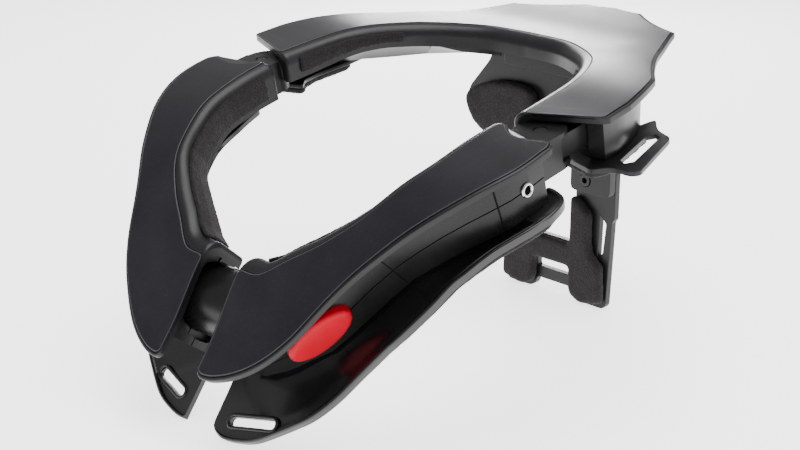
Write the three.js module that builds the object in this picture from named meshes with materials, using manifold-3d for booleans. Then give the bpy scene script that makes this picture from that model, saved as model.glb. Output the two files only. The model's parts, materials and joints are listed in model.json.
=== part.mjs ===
// A motocross neck brace: a rear collar that carries a back strut, and two front wings hinged to its arms.
// The wings close at the front on a latch that a side button releases.
// The whole top follows one folded side profile, so a place on it is given flat: x across, s along the
// profile from the front tips, and h above the top surface. Millimetres, +Z up, +Y to the wearer's back.
import * as THREE from 'three';
import { mergeVertices } from 'three/addons/utils/BufferGeometryUtils.js';
import Module from 'manifold-3d';

const wasm = await Module();
wasm.setup();

// Driving dimensions
const collarWidth = 245;
const collarLength = 308;
const collarHeight = 158;
const seatGap = 0.3;
const beyond = 12;
const panelThickness = 1;
const panelSink = 0.3;
const shellThickness = 3.5;
const rimWidth = 1.7;
const rollWidth = 6.5;
const frontRollWidth = 9;
const wallThickness = 2.6;
const wingWallDepth = 20;
const frontWallShare = 1.2;
const collarWallDepth = 12;
const armWallShare = 1.3;
const stripThickness = 1.6;
const stripMargin = 3;

const housingInset = 9;
const housingDepth = 30.5;
const seamDepth = 17.5;
const frontFootRise = 2.5;
const seamWidth = 0.6;

const chestPlateThickness = 2.6;
const chestRimHeight = 1.4;
const chestRimWidth = 2.8;
const chestRimBevel = 0.9;
const chestPadThickness = 4;
const chestPadInset = 2;
const chestPadInnerInset = 10;
const chestPadSpan = [0.35, 0.95];
const chestSlotWidth = 4.2;
const leftChestSlotLength = 28;
const rightChestSlotLength = 22;
const rightChestNose = 13.5;

const hingeAcross = 96.5;
const hingeSetback = 3;
const hingeRadius = 12;
const eyeRadius = 9.5;
const knuckleTop = 7;
const knuckleHeight = 11;
const knuckleReach = 44;
const sleeveDepth = 21.5;
const sleeveReach = 23;
const pinRadius = 3;
const openAngle = 35;
const openClearance = 2;

const latchShare = 0.65;
const latchRadius = 17;
const latchCentreDepth = 21.8;
const latchFlatDepth = 26.5;
const latchReach = 8.5;
const latchNose = 8.5;
const latchRoot = 16;
const latchMouth = 7;
const latchClearance = 1.2;
const mouthFlare = 6;
const rimReach = 4;

const buttonLength = 35.5;
const buttonHeight = 20.4;
const buttonDepth = 15.3;
const buttonProud = 2;
const buttonBody = 6;
const buttonTravel = 2.5;
const buttonPlay = 0.1;

const screwRadius = 3.4;
const screwSocket = 1.8;
const screwSocketDepth = 2;
const screwProud = 0.6;
const screwLength = 5;

const armHousingInset = 7.2;
const flangeDepth = 24;
const rearHousingDepth = 19;
const rearHousingSetback = 28;
const rearHousingRecess = 16;
const pocketWall = 3;
const pocketReach = 28;

const flangeThickness = 2.4;
const flangeTilt = 6.6;
const flangeReach = 134.5;
const flangeInner = 88;
const flangeLength = 70;
const flangeLead = 6;
const strapSlotLength = 38;
const strapSlotWidth = 6.5;
const flangeCorner = 4;
const shoulderPadThickness = 3.7;
const shoulderPadCorner = 5;

const backPlateThickness = 4;
const backPlateWidth = 116;
const backPlateDrop = 66;
const backSeatDepth = 3;
const backPlateCorner = 6;
const backPadThickness = 6;
const backPadCorner = 7;
const flapWidth = 54;
const flapHeight = 10;
const flapThickness = 3;
const flapCorner = 2;

const strutWidth = 80;
const strutThickness = 4;
const strutCorner = 2;
const strutHoleCorner = 1.2;
const strutLegWidth = 27;
const strutPadThickness = 5;
const strutScrewShare = 0.38;
const strutHeight = 80;
const bracketThickness = 5;
const bracketSetback = 9;
const bracketLap = 14;
const bracketNotch = 26;
const bracketCorner = 3;

// Side profile of the top surface. Columns: along (share of length), up (share of height)
const profileTable = [
  [0, 0.23], [0.037, 0.33], [0.087, 0.493], [0.144, 0.63], [0.183, 0.711], [0.249, 0.803], [0.331, 0.869],
  [0.412, 0.911], [0.49, 0.939], [0.608, 0.972], [0.754, 0.976], [0.838, 0.972], [0.929, 0.988], [1, 1],
];

// Flat outlines. Columns: across (share of half the width), run (share of the profile's length)
const wingOuterTable = [
  [0.114, 0.002], [0.2, 0.006], [0.335, 0.03], [0.482, 0.083], [0.645, 0.19], [0.784, 0.266], [0.906, 0.337],
  [0.971, 0.399], [0.974, 0.462],
];
const wingInnerTable = [
  [0.106, 0.149], [0.212, 0.152], [0.318, 0.182], [0.433, 0.217], [0.539, 0.262], [0.604, 0.317],
  [0.645, 0.362], [0.661, 0.42], [0.669, 0.481],
];
const chestOuterTable = [
  [0.073, -0.052], [0.131, -0.057], [0.229, -0.051], [0.302, -0.041], [0.408, -0.013], [0.506, 0.02],
  [0.661, 0.093], [0.767, 0.171], [0.833, 0.23], [0.914, 0.322], [0.971, 0.405], [0.976, 0.441],
  [0.939, 0.478], [0.857, 0.494],
];
const chestInnerTable = [
  [0.049, -0.042], [0.045, 0], [0.052, 0.051], [0.2, 0.107], [0.42, 0.169], [0.56, 0.225], [0.655, 0.295],
  [0.71, 0.36], [0.75, 0.427], [0.797, 0.486],
];
// The rear collar's outer edge has corners. Columns: across, run, sag (share of the collar's width, inward
// between this corner and the next), match (share of the inner edge that faces it)
const collarOuterTable = [
  [0.992, 0.554, 0, 0], [0.98, 0.604, -0.0049, 0.17], [0.873, 0.704, 0.0143, 0.42],
  [0.457, 0.938, 0.009, 0.8], [0.155, 0.994, 0.0033, 0.93], [0, 1, 0, 1],
];
const collarInnerTable = [
  [0.69, 0.515], [0.672, 0.58], [0.653, 0.625], [0.62, 0.66], [0.56, 0.7], [0.47, 0.742], [0.34, 0.775],
  [0.2, 0.797], [0, 0.803],
];

const satin = { color: 0x35353b, roughness: 0.42, metalness: 0 };
const shellBlack = { color: 0x1f2023, roughness: 0.4, metalness: 0 };
const gloss = { color: 0x0b0b0c, roughness: 0.12, metalness: 0 };
const housingBlack = { color: 0x1a1c1b, roughness: 0.33, metalness: 0 };
const foam = { color: 0x231f1f, roughness: 0.95, metalness: 0 };
const hook = { color: 0x121113, roughness: 1, metalness: 0 };
const red = { color: 0xd2102c, roughness: 0.35, metalness: 0 };
const steel = { color: 0xb4b6b8, roughness: 0.25, metalness: 1 };

const halfWidth = collarWidth / 2;
const foldCurve = new THREE.CatmullRomCurve3(
  profileTable.map(([along, up]) => new THREE.Vector3(0, (along - 0.5) * collarLength, up * collarHeight)),
  false, 'centripetal');
foldCurve.arcLengthDivisions = 500;
const foldLength = foldCurve.getLength();
const smooth = (t) => THREE.MathUtils.smoothstep(t, 0, 1);
const { lerp } = THREE.MathUtils;

// Frame on the folded surface: X across, Y along the fold, Z out of it
function foldFrame(x, s, h = 0) {
  const share = THREE.MathUtils.clamp(s / foldLength, 0, 1);
  const along = foldCurve.getTangentAt(share);
  const out = new THREE.Vector3(0, -along.z, along.y);
  const origin = foldCurve.getPointAt(share);
  origin.addScaledVector(along, s - share * foldLength).addScaledVector(out, h);
  origin.x = x;
  return new THREE.Matrix4().makeBasis(new THREE.Vector3(1, 0, 0), along, out).setPosition(origin);
}

const bend = (x, s, h) => new THREE.Vector3().setFromMatrixPosition(foldFrame(x, s, h));

// Closed bodies
function solidFrom(geometry) {
  const bare = geometry.clone();
  bare.deleteAttribute('normal');
  bare.deleteAttribute('uv');
  const merged = mergeVertices(bare, 1e-4);
  return new wasm.Manifold(new wasm.Mesh({
    numProp: 3,
    vertProperties: new Float32Array(merged.attributes.position.array),
    triVerts: new Uint32Array(merged.index.array),
  }));
}

function geometryFrom(solid) {
  const { vertProperties, triVerts } = solid.getMesh();
  const geometry = new THREE.BufferGeometry();
  geometry.setAttribute('position', new THREE.BufferAttribute(new Float32Array(vertProperties), 3));
  geometry.setIndex(new THREE.BufferAttribute(new Uint32Array(triVerts), 1));
  geometry.computeVertexNormals();
  return geometry;
}

function facingOut(geometry) {
  const { array } = geometry.index;
  const corner = [0, 1, 2].map(() => new THREE.Vector3());
  let volume = 0;
  for (let i = 0; i < array.length; i += 3) {
    corner.forEach((point, k) => point.fromBufferAttribute(geometry.attributes.position, array[i + k]));
    volume += corner[0].dot(corner[1].clone().cross(corner[2]));
  }
  if (volume < 0) {
    for (let i = 0; i < array.length; i += 3) [array[i], array[i + 1]] = [array[i + 1], array[i]];
  }
  geometry.computeVertexNormals();
  return geometry;
}

// Skins one closed section after another; flats hold each end section in its own plane, for the caps
function skin(rings, flats) {
  const count = rings[0].length;
  const positions = rings.flat().flatMap((point) => point.toArray());
  const index = [];
  for (let r = 0; r + 1 < rings.length; r++) {
    for (let k = 0; k < count; k++) {
      const next = (k + 1) % count;
      const a = r * count + k;
      const b = r * count + next;
      const c = a + count;
      const d = b + count;
      const rising = rings[r][k].distanceTo(rings[r + 1][next]) < rings[r][next].distanceTo(rings[r + 1][k]);
      index.push(...(rising ? [a, b, d, a, d, c] : [a, b, c, b, d, c]));
    }
  }
  const last = (rings.length - 1) * count;
  const turned = THREE.ShapeUtils.isClockWise(flats[0]) ? 1 : -1;
  for (const [i, j, k] of THREE.ShapeUtils.triangulateShape(flats[0], [])) {
    index.push(...(turned > 0 ? [i, j, k] : [i, k, j]));
  }
  for (const [i, j, k] of THREE.ShapeUtils.triangulateShape(flats[1], [])) {
    index.push(...(turned > 0 ? [last + i, last + k, last + j] : [last + i, last + j, last + k]));
  }
  const geometry = new THREE.BufferGeometry();
  geometry.setAttribute('position', new THREE.Float32BufferAttribute(positions, 3));
  geometry.setIndex(index);
  return facingOut(geometry);
}

function mirrored(geometry) {
  const copy = geometryFrom(solidFrom(geometry));
  copy.applyMatrix4(new THREE.Matrix4().makeScale(-1, 1, 1));
  return facingOut(copy);
}

const cut = (geometry, ...tools) => geometryFrom(
  tools.reduce((solid, tool) => solid.subtract(solidFrom(tool)), solidFrom(geometry)));
const join = (geometry, ...others) => geometryFrom(
  others.reduce((solid, other) => solid.add(solidFrom(other)), solidFrom(geometry)));

// Upright block, rod and prism in a frame; heights are above the frame's origin
function block(matrix, x0, x1, y0, y1, z0, z1) {
  const box = new THREE.BoxGeometry(x1 - x0, y1 - y0, z1 - z0);
  return box.translate((x0 + x1) / 2, (y0 + y1) / 2, (z0 + z1) / 2).applyMatrix4(matrix);
}

function rod(matrix, radius, z0, z1, sides = 14) {
  const cylinder = new THREE.CylinderGeometry(radius, radius, z1 - z0, sides).rotateX(Math.PI / 2);
  return cylinder.translate(0, 0, (z0 + z1) / 2).applyMatrix4(matrix);
}

function prism(matrix, points, z0, z1) {
  const shape = new THREE.Shape(points);
  const body = new THREE.ExtrudeGeometry(shape, { depth: z1 - z0, bevelEnabled: false, curveSegments: 6 });
  return body.translate(0, 0, z0).applyMatrix4(matrix);
}

// Slot outline with round ends, centred at a point and turned by an angle
function slotOutline(x, y, length, width, angle = 0, steps = 2) {
  const points = [];
  for (const end of [1, -1]) {
    for (let k = 0; k <= steps; k++) {
      const turn = (end > 0 ? -Math.PI / 2 : Math.PI / 2) + (Math.PI * k) / steps;
      points.push(new THREE.Vector2(end * (length - width) / 2 + (width / 2) * Math.cos(turn),
        (width / 2) * Math.sin(turn)));
    }
  }
  return points.map((point) => point.rotateAround(new THREE.Vector2(), angle).add(new THREE.Vector2(x, y)));
}

// Polygon with each corner cut by an arc of a few points
function rounded(points, radius, steps = 2) {
  const corners = points.map(([x, y]) => new THREE.Vector2(x, y));
  return corners.flatMap((corner, i) => {
    const before = corners.at(i - 1).clone().sub(corner);
    const after = corners[(i + 1) % corners.length].clone().sub(corner);
    const reach = Math.min(radius, before.length() * 0.45, after.length() * 0.45);
    const start = corner.clone().addScaledVector(before.normalize(), reach);
    const end = corner.clone().addScaledVector(after.normalize(), reach);
    const arc = new THREE.QuadraticBezierCurve(start, corner, end);
    return arc.getPoints(steps);
  });
}

// A pair of flat edges, and places between them
function flatCurve(table) {
  const curve = new THREE.CatmullRomCurve3(
    table.map(([across, run]) => new THREE.Vector3(across * halfWidth, run * foldLength, 0)),
    false, 'centripetal');
  curve.arcLengthDivisions = 120;
  return curve;
}

function edgePair(outerAt, innerAt, endShift = () => 0) {
  return (v, side, inset) => {
    const outer = outerAt(v);
    const inner = innerAt(v);
    const across = inner.clone().sub(outer);
    const point = outer.clone().addScaledVector(across, side).addScaledVector(across.normalize(), inset);
    point.y += endShift(v, side);
    return point;
  };
}

// A slight bow keeps the points of an end section out of one straight line when it is triangulated
const capBow = 0.02;
function loft(place, rowsAt, stations) {
  const rings = stations.map((v) => rowsAt(v).map(([side, inset, height]) => {
    const point = place(v, side, inset);
    return bend(point.x, point.y, height);
  }));
  const flats = [stations[0], stations.at(-1)].map((v) => {
    const width = place(v, 0, 0).distanceTo(place(v, 1, 0));
    return rowsAt(v).map(([side, inset, height]) =>
      new THREE.Vector2(side * width + inset, height + capBow * Math.sin(Math.PI * side)));
  });
  return skin(rings, flats);
}

const evenly = (from, to, steps) => Array.from({ length: steps + 1 }, (_, i) => lerp(from, to, i / steps));

// Wing edges. Its rear end has a notch that clears the hinge
const wingNotch = 5.5;
const wingOuter = flatCurve(wingOuterTable);
const wingInner = flatCurve(wingInnerTable);
const notchShape = (side) => Math.sin(Math.PI * THREE.MathUtils.clamp(side, 0, 1) ** 1.3);
const wing = edgePair((v) => wingOuter.getPointAt(v), (v) => wingInner.getPointAt(v),
  (v, side) => -wingNotch * notchShape(side) * smooth((v - 0.85) / 0.15));
const wingStations = evenly(0, 1, 15);
const frontShare = (v) => 1 - smooth(v / 0.5);
const rollAt = (v) => lerp(rollWidth, frontRollWidth, frontShare(v));
const wingWallAt = (v) => wingWallDepth * lerp(1, frontWallShare, frontShare(v));

// Sections. Columns: side (0 outer edge to 1 inner edge), inset (mm inward), height above the surface
const acrossShares = [0.33, 0.67];
const inward = (height, from = 0, to = 0) => acrossShares.map((side) => [side, lerp(from, to, side), height]);
const outward = (height, from = 0, to = 0) => inward(height, from, to).reverse();

const panelRows = () => [
  [0, rimWidth + seatGap, -panelThickness], [0, rimWidth + seatGap, 0],
  ...inward(0, rimWidth + seatGap, -seatGap),
  [1, -seatGap, 0], [1, -seatGap, -panelThickness], ...outward(-panelThickness, rimWidth + seatGap, -seatGap),
];

// The shell's inner edge rolls over into its wall. Columns: out (share of the roll), down (share of the roll)
const rollTable = [[0.5, 0.15], [0.85, 0.52]];
const rollFoot = 0.9;
const rimBevel = 0.6;
function shellRows(roll, depth) {
  const seat = -panelThickness - seatGap;
  const inner = roll - wallThickness;
  const foot = roll * rollFoot;
  return [
    [0, 0, -shellThickness], [0, 0, -panelThickness], [0, rimWidth * rimBevel, -panelSink],
    [0, rimWidth, -panelSink], [0, rimWidth, seat], ...inward(seat, rimWidth, 0), [1, 0, seat],
    [1, 0, -panelSink], ...rollTable.map(([out, down]) => [1, roll * out, -panelSink - roll * down]),
    [1, roll, -depth / 2], [1, foot, -depth],
    [1, foot - wallThickness, -depth], [1, inner, -depth / 2], [1, inner * 0.7, -shellThickness - 1],
    [1, 0, -shellThickness], ...outward(-shellThickness),
  ];
}

// A hook strip that lies on the shell's inner wall
function stripRows(roll, depth) {
  const [out, down] = rollTable.at(-1);
  const levels = [[roll * out, -panelSink - roll * down], [roll, -depth / 2],
    [roll * (1 + rollFoot) / 2, -depth + stripMargin]];
  const lying = levels.map(([inset, height]) => [1, inset + seatGap, height]);
  const proud = levels.map(([inset, height]) => [1, inset + seatGap + stripThickness, height]).reverse();
  return [...lying, ...proud];
}

// A block under the shell from one depth to another. Its foot rises by so much towards the neck, and
// shares gives how far it has risen at each place across
const wingFootShares = [0.1, 0.6];
const armFootShares = [0.45, 0.87];
const topSetback = 3;
function housingRows(inset, innerInset, top, bottom, rise, shares) {
  const topEdge = Math.min(innerInset - topSetback, -0.5);
  const foot = inward(-bottom, inset, innerInset).map(([side, drawn, height], i) =>
    [side, drawn, height + rise * shares[i]]);
  return [
    [0, inset, -top], ...inward(-top, inset, topEdge), [1, topEdge, -top], [1, innerInset, -top - 1],
    [1, innerInset, -bottom + rise], ...foot.reverse(), [0, inset, -bottom],
  ];
}

const hingeRun = (wingInner.getPointAt(1).y + collarInnerTable[0][1] * foldLength) / 2 + hingeSetback;
const hingeFrame = foldFrame(hingeAcross, hingeRun);
const wingEndX = wingOuter.getPointAt(0).x;
const latchRun = lerp(wingOuter.getPointAt(0).y, wingInner.getPointAt(0).y, latchShare);
const latchFrame = foldFrame(0, latchRun, -latchCentreDepth);

// Latch section with its round top and flat foot, drawn in by an offset all round
function latchOutline(offset) {
  const radius = latchRadius - offset;
  const foot = -(latchFlatDepth - latchCentreDepth) + offset;
  const reach = Math.asin(THREE.MathUtils.clamp(foot / radius, -1, 1));
  return evenly(reach, Math.PI - reach, 13).map((turn) =>
    new THREE.Vector2(radius * Math.cos(turn), radius * Math.sin(turn)));
}

// Skin of latch outlines at stations [x, offset] across the brace
function latchBody(stations) {
  const place = (x, point) => new THREE.Vector3(x, point.x, point.y).applyMatrix4(latchFrame);
  const outlines = stations.map(([, offset]) => latchOutline(offset));
  return skin(outlines.map((outline, i) => outline.map((point) => place(stations[i][0], point))),
    [outlines[0], outlines.at(-1)]);
}

// The knuckle in its hinge frame: an eye round the pin and a bar into the collar's arm
const knuckleOutline = (grow) => {
  const radius = eyeRadius + grow;
  const arc = evenly(Math.PI, 2 * Math.PI, 10).map((turn) =>
    new THREE.Vector2(radius * Math.cos(turn), radius * Math.sin(turn)));
  const reach = knuckleReach + grow;
  return [...arc, new THREE.Vector2(radius, reach), new THREE.Vector2(-radius, reach)];
};

function knuckle(grow) {
  const bottom = -knuckleTop - knuckleHeight;
  return prism(hingeFrame, knuckleOutline(grow), bottom - grow, -knuckleTop + grow);
}

// Everywhere that the knuckle's bar passes as the wing opens
function knuckleSweep() {
  const radius = eyeRadius + seatGap;
  const swing = THREE.MathUtils.degToRad(openAngle + openClearance);
  const arc = evenly(Math.PI, 2 * Math.PI - swing, 8).map((turn) =>
    new THREE.Vector2(radius * Math.cos(turn), radius * Math.sin(turn)));
  const swung = new THREE.Vector2(Math.sin(swing), Math.cos(swing));
  const far = arc.at(-1).clone().addScaledVector(swung, knuckleReach);
  const outline = [...arc, far, new THREE.Vector2(-radius, knuckleReach)];
  return prism(hingeFrame, outline, -knuckleTop - knuckleHeight - seatGap, -knuckleTop + seatGap);
}

// The sleeve's root follows the fold into the housing, and its lugs are flat round the pin
function sleeveBlock(grow) {
  const radius = hingeRadius + grow;
  const top = -shellThickness - 3 * seatGap;
  const arc = evenly(0, Math.PI, 8).map((turn) =>
    new THREE.Vector2(radius * Math.cos(turn), radius * Math.sin(turn)));
  const lugs = prism(hingeFrame, [...arc, new THREE.Vector2(-radius, -3), new THREE.Vector2(radius, -3)],
    -sleeveDepth - grow, top - seatGap + grow);
  const runs = evenly(hingeRun - sleeveReach - grow, hingeRun, 4);
  const section = [[-radius, top + grow], [radius, top + grow], [radius, -sleeveDepth - grow],
    [-radius, -sleeveDepth - grow]];
  const root = skin(runs.map((run) => section.map(([x, h]) => bend(hingeAcross + x, run, h))),
    [0, 1].map(() => section.map(([x, h]) => new THREE.Vector2(x, h))));
  return join(root, lugs);
}

// The housing's outer wall swells out to the table's edge round the button.
// Columns: place along the wing, share of the housing's inset
const wallTable = [[0, 1.3], [0.14, 1.15], [0.3, 0.45], [0.5, 0.6], [1, 1]];
function wallInset(v) {
  const next = Math.max(1, wallTable.findIndex(([place]) => v <= place));
  const [[from, start], [to, end]] = wallTable.slice(next - 1, next + 1);
  return housingInset * lerp(start, end, smooth((v - from) / (to - from)));
}

// The button's place on the housing's outer wall: X along the wall, Y up it, Z out of it
const buttonShare = 0.3;
const screwShare = 0.92;
function wallFrame(share, depth) {
  const at = (v, h) => {
    const point = wing(v, 0, wallInset(v));
    return bend(point.x, point.y, h);
  };
  const origin = at(share, -depth);
  const along = at(share + 0.04, -depth).sub(at(share - 0.04, -depth)).normalize();
  const up = at(share, -depth + 1).sub(origin).normalize();
  const out = new THREE.Vector3().crossVectors(along, up).normalize();
  return new THREE.Matrix4().makeBasis(along, new THREE.Vector3().crossVectors(out, along), out)
    .setPosition(origin);
}
const buttonFrame = wallFrame(buttonShare, buttonDepth);
const screwFrame = wallFrame(screwShare, seamDepth);

function buttonOutline(grow) {
  return evenly(0, 2 * Math.PI, 22).slice(0, -1).map((turn) => new THREE.Vector2(
    (buttonLength / 2 + grow) * Math.cos(turn), (buttonHeight / 2 + grow) * Math.sin(turn)));
}

function button() {
  const levels = [[-buttonBody, 0], [buttonProud * 0.3, 0], [buttonProud * 0.8, 1], [buttonProud, 2.6]];
  const outlines = levels.map(([, inset]) => buttonOutline(-inset));
  const rings = outlines.map((outline, i) => outline.map((point) =>
    new THREE.Vector3(point.x, point.y, levels[i][0]).applyMatrix4(buttonFrame)));
  return skin(rings, [outlines[0], outlines.at(-1)]);
}

const buttonRecess = () => prism(buttonFrame, buttonOutline(seatGap + buttonPlay),
  -buttonBody - buttonTravel - seatGap - buttonPlay, beyond);

// Socket-head screw let into a wall, and the hole that takes it
function socketScrew(matrix) {
  const hexagon = rod(matrix, screwSocket, -screwSocketDepth, beyond, 6);
  return cut(rod(matrix, screwRadius, -screwLength, screwProud, 12), hexagon);
}
const screwHole = (matrix) => rod(matrix, screwRadius + seatGap, -screwLength - seatGap, beyond, 12);

// The pieces of a left wing; the right wing is their mirror image. The housings stop just short of its ends
const endShare = 0.01;
function wingPieces(hasButton) {
  const sleeveRoom = sleeveBlock(seatGap);
  const cavity = hasButton
    ? [latchBody([[wingEndX - mouthFlare, -latchClearance - mouthFlare],
      [wingEndX + latchNose + rimReach - mouthFlare, latchNose - latchClearance]])]
    : [latchBody([[0, -rimReach], [wingEndX + latchMouth, -rimReach]]),
      latchBody([[wingEndX + latchMouth - 1, -seatGap], [wingEndX + latchRoot, -seatGap]])];
  const innerInset = (v) => rollAt(v) * 0.8 - wallThickness - seatGap;
  const upper = (v) => housingRows(wallInset(v), innerInset(v), shellThickness + seatGap,
    seamDepth - seamWidth / 2, 0, wingFootShares);
  const lower = (v) => housingRows(wallInset(v), innerInset(v), seamDepth + seamWidth / 2,
    housingDepth - frontFootRise * (1 - smooth(v / 0.25)),
    (housingDepth - wingWallDepth) * smooth((v - 0.1) / 0.15), wingFootShares);
  const bodyStations = [endShare, ...wingStations.slice(1, -1), 1 - endShare];
  const tools = [sleeveRoom, ...cavity, screwHole(screwFrame)];
  if (hasButton) tools.push(buttonRecess());
  return {
    panel: loft(wing, panelRows, wingStations),
    shell: loft(wing, (v) => shellRows(rollAt(v), wingWallAt(v)), wingStations),
    housing_upper: cut(loft(wing, upper, bodyStations), ...tools),
    housing_lower: cut(loft(wing, lower, bodyStations), ...tools),
    neck_strip: loft(wing, (v) => stripRows(rollAt(v), wingWallAt(v)), wingStations.slice(1, -1)),
    screw: socketScrew(screwFrame),
  };
}

// Chest plate with a raised rim and a strap slot, and the foam pad under it
const chestOuter = flatCurve(chestOuterTable);
const chestInner = flatCurve(chestInnerTable);
const chest = edgePair((v) => chestOuter.getPointAt(v), (v) => chestInner.getPointAt(v));
const chestTop = housingDepth + 2 * seatGap;
const chestBottom = chestTop + chestPlateThickness;

// Outer end of a plate's strap slot, and the way that the slot runs. Shares of the flat outline's sizes
const chestSlotEnd = [0.345, -0.01];
const chestSlotTurn = 0.26;
function chestPlate(slotLength, nose = 0) {
  const rim = -chestTop + chestRimHeight;
  const rows = () => [
    [0, 0, -chestBottom], [0, 0, rim - chestRimBevel], [0, chestRimBevel, rim],
    [0, chestRimWidth - chestRimBevel, rim], [0, chestRimWidth, -chestTop],
    ...inward(-chestTop, chestRimWidth, 0), [1, 0, -chestTop], [1, 0, -chestBottom], ...outward(-chestBottom),
  ];
  const [across, run] = chestSlotEnd;
  const frame = foldFrame(across * halfWidth, run * foldLength, -chestTop)
    .multiply(new THREE.Matrix4().makeRotationZ(chestSlotTurn));
  const slot = prism(frame, slotOutline(-slotLength / 2, 0, slotLength, chestSlotWidth), -beyond, beyond);
  const trimmed = block(new THREE.Matrix4(), -halfWidth, nose, -collarLength, collarLength, -collarHeight,
    collarHeight);
  return cut(loft(chest, rows, evenly(0, 1, 16)), slot, trimmed);
}

function chestPad() {
  const top = chestBottom + seatGap;
  const bottom = top + chestPadThickness;
  const round = chestPadThickness / 3;
  const rows = () => [
    [0, chestPadInset, -top], ...inward(-top, chestPadInset, -chestPadInnerInset),
    [1, -chestPadInnerInset, -top], [1, -chestPadInnerInset, -bottom + round],
    [1, -chestPadInnerInset - round, -bottom],
    ...outward(-bottom, chestPadInset + round, -chestPadInnerInset - round),
    [0, chestPadInset + round, -bottom], [0, chestPadInset, -bottom + round],
  ];
  return loft(chest, rows, evenly(...chestPadSpan, 9));
}

function hingeSleeve() {
  const bore = rod(hingeFrame, pinRadius + seatGap, -sleeveDepth - beyond, beyond);
  return cut(sleeveBlock(0), knuckleSweep(), bore);
}

const hingePin = () => rod(hingeFrame, pinRadius, -sleeveDepth, -shellThickness - 4 * seatGap);
const hingeKnuckle = () => cut(knuckle(0), rod(hingeFrame, pinRadius + seatGap, -sleeveDepth, beyond));

function latchBarrel() {
  const root = -wingEndX - latchRoot + seatGap;
  return latchBody([[root, 0], [latchReach, 0], [latchReach + latchNose, latchNose]]);
}

// Rear collar
function cornerCurve(table) {
  const path = new THREE.CurvePath();
  const spots = table.map(([across, run]) => new THREE.Vector3(across * halfWidth, run * foldLength, 0));
  for (let i = 0; i + 1 < spots.length; i++) {
    const middle = spots[i].clone().lerp(spots[i + 1], 0.5);
    const sideways = new THREE.Vector3(-(spots[i + 1].y - spots[i].y), spots[i + 1].x - spots[i].x, 0);
    middle.addScaledVector(sideways.normalize(), 2 * table[i][2] * collarWidth);
    path.add(new THREE.QuadraticBezierCurve3(spots[i], middle, spots[i + 1]));
  }
  return path;
}

const collarOuter = cornerCurve(collarOuterTable);
const collarInner = flatCurve(collarInnerTable);
const collarCorners = collarOuterTable.map(([, , , match]) => match);

// v runs from the left arm's end, 0, round the back to the right arm's end, 1
function onHalf(v, placeAt) {
  const half = v <= 0.5 ? v * 2 : (1 - v) * 2;
  const point = placeAt(half);
  if (v > 0.5) point.x = -point.x;
  return point;
}

function collarOuterAt(half) {
  const found = collarCorners.findLastIndex((match) => match <= half + 1e-9);
  const piece = Math.min(found, collarCorners.length - 2);
  const share = (half - collarCorners[piece]) / (collarCorners[piece + 1] - collarCorners[piece]);
  return collarOuter.curves[piece].getPoint(share);
}

const collarInnerAt = (half) => collarInner.getPointAt(half);
const collar = edgePair((v) => onHalf(v, collarOuterAt), (v) => onHalf(v, collarInnerAt));
const halfStations = collarCorners.slice(0, -1).flatMap((match, i) =>
  evenly(match, collarCorners[i + 1], [2, 4, 4, 2, 1][i]).slice(0, -1));
const collarStations = [...halfStations.map((half) => half / 2), 0.5,
  ...halfStations.map((half) => 1 - half / 2).reverse()];
const between = (from, to) => [from, ...collarStations.filter((v) => v > from + 0.008 && v < to - 0.008), to];
const armShare = (v) => 1 - smooth(Math.min(v, 1 - v) / 0.22);
const collarWallAt = (v) => collarWallDepth * lerp(1, armWallShare, armShare(v));

const armEnd = 0.035;
const housingSplit = 0.3;

const flangeRun = collarOuterTable[0][1] * foldLength - flangeLead;
const flangeFrame = new THREE.Matrix4().makeRotationX(THREE.MathUtils.degToRad(flangeTilt))
  .setPosition(bend(0, flangeRun, -flangeDepth));
const collarInnerInset = rollWidth * 0.8 - wallThickness - seatGap;

// The arm's box stands on the flange, and its open front takes the knuckle
function armHousing() {
  const depth = flangeDepth + rimReach;
  const rows = (v) => housingRows(armHousingInset, collarInnerInset, shellThickness + seatGap, depth,
    depth - collarWallAt(v), armFootShares);
  const body = loft(collar, rows, between(armEnd, housingSplit));
  const across = hingeRadius + pocketWall;
  const mouth = block(hingeFrame, -across + 1, across - 5, 0, pocketReach, -flangeDepth + pocketWall,
    -shellThickness - pocketWall);
  const below = block(flangeFrame, 0, collarWidth, -collarLength, collarLength, -collarHeight, seatGap);
  return cut(body, knuckle(seatGap), mouth, below);
}

// Columns: across (share of the way from the inner edge to the tip), along (share of the flange's length)
const flangeTable = [
  [0, 0.116], [0.54, 0], [0.6, 0], [0.69, 0.086], [0.82, 0.104], [0.925, 0.094], [1, 0.144], [0.72, 0.694],
  [0.68, 0.73], [0.46, 0.794], [0.355, 0.873], [0.26, 0.95], [0.21, 0.74], [0.21, 0.38], [0.15, 0.19],
];
const shoulderPadTable = [
  [0.04, 0.13], [0.52, 0.03], [0.6, 0.1], [0.6, 0.2], [0.4, 0.7], [0.33, 0.82], [0.27, 0.7], [0.27, 0.38],
  [0.19, 0.22],
];
const onFlange = (table) => table.map(([across, along]) =>
  [lerp(flangeInner, flangeReach, across), along * flangeLength]);

const strapSlotCentre = [0.634, 0.457];
const strapSlotTurn = 0.282;
function flange() {
  const plate = prism(flangeFrame, rounded(onFlange(flangeTable), flangeCorner), -flangeThickness, 0);
  const [[x, y]] = onFlange([strapSlotCentre]);
  const slot = slotOutline(x, y, strapSlotLength, strapSlotWidth, Math.PI / 2 + strapSlotTurn);
  return cut(plate, prism(flangeFrame, slot, -beyond, beyond));
}

function shoulderPad() {
  const top = -flangeThickness - seatGap;
  const outline = rounded(onFlange(shoulderPadTable), shoulderPadCorner);
  return prism(flangeFrame, outline, top - shoulderPadThickness, top);
}

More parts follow.
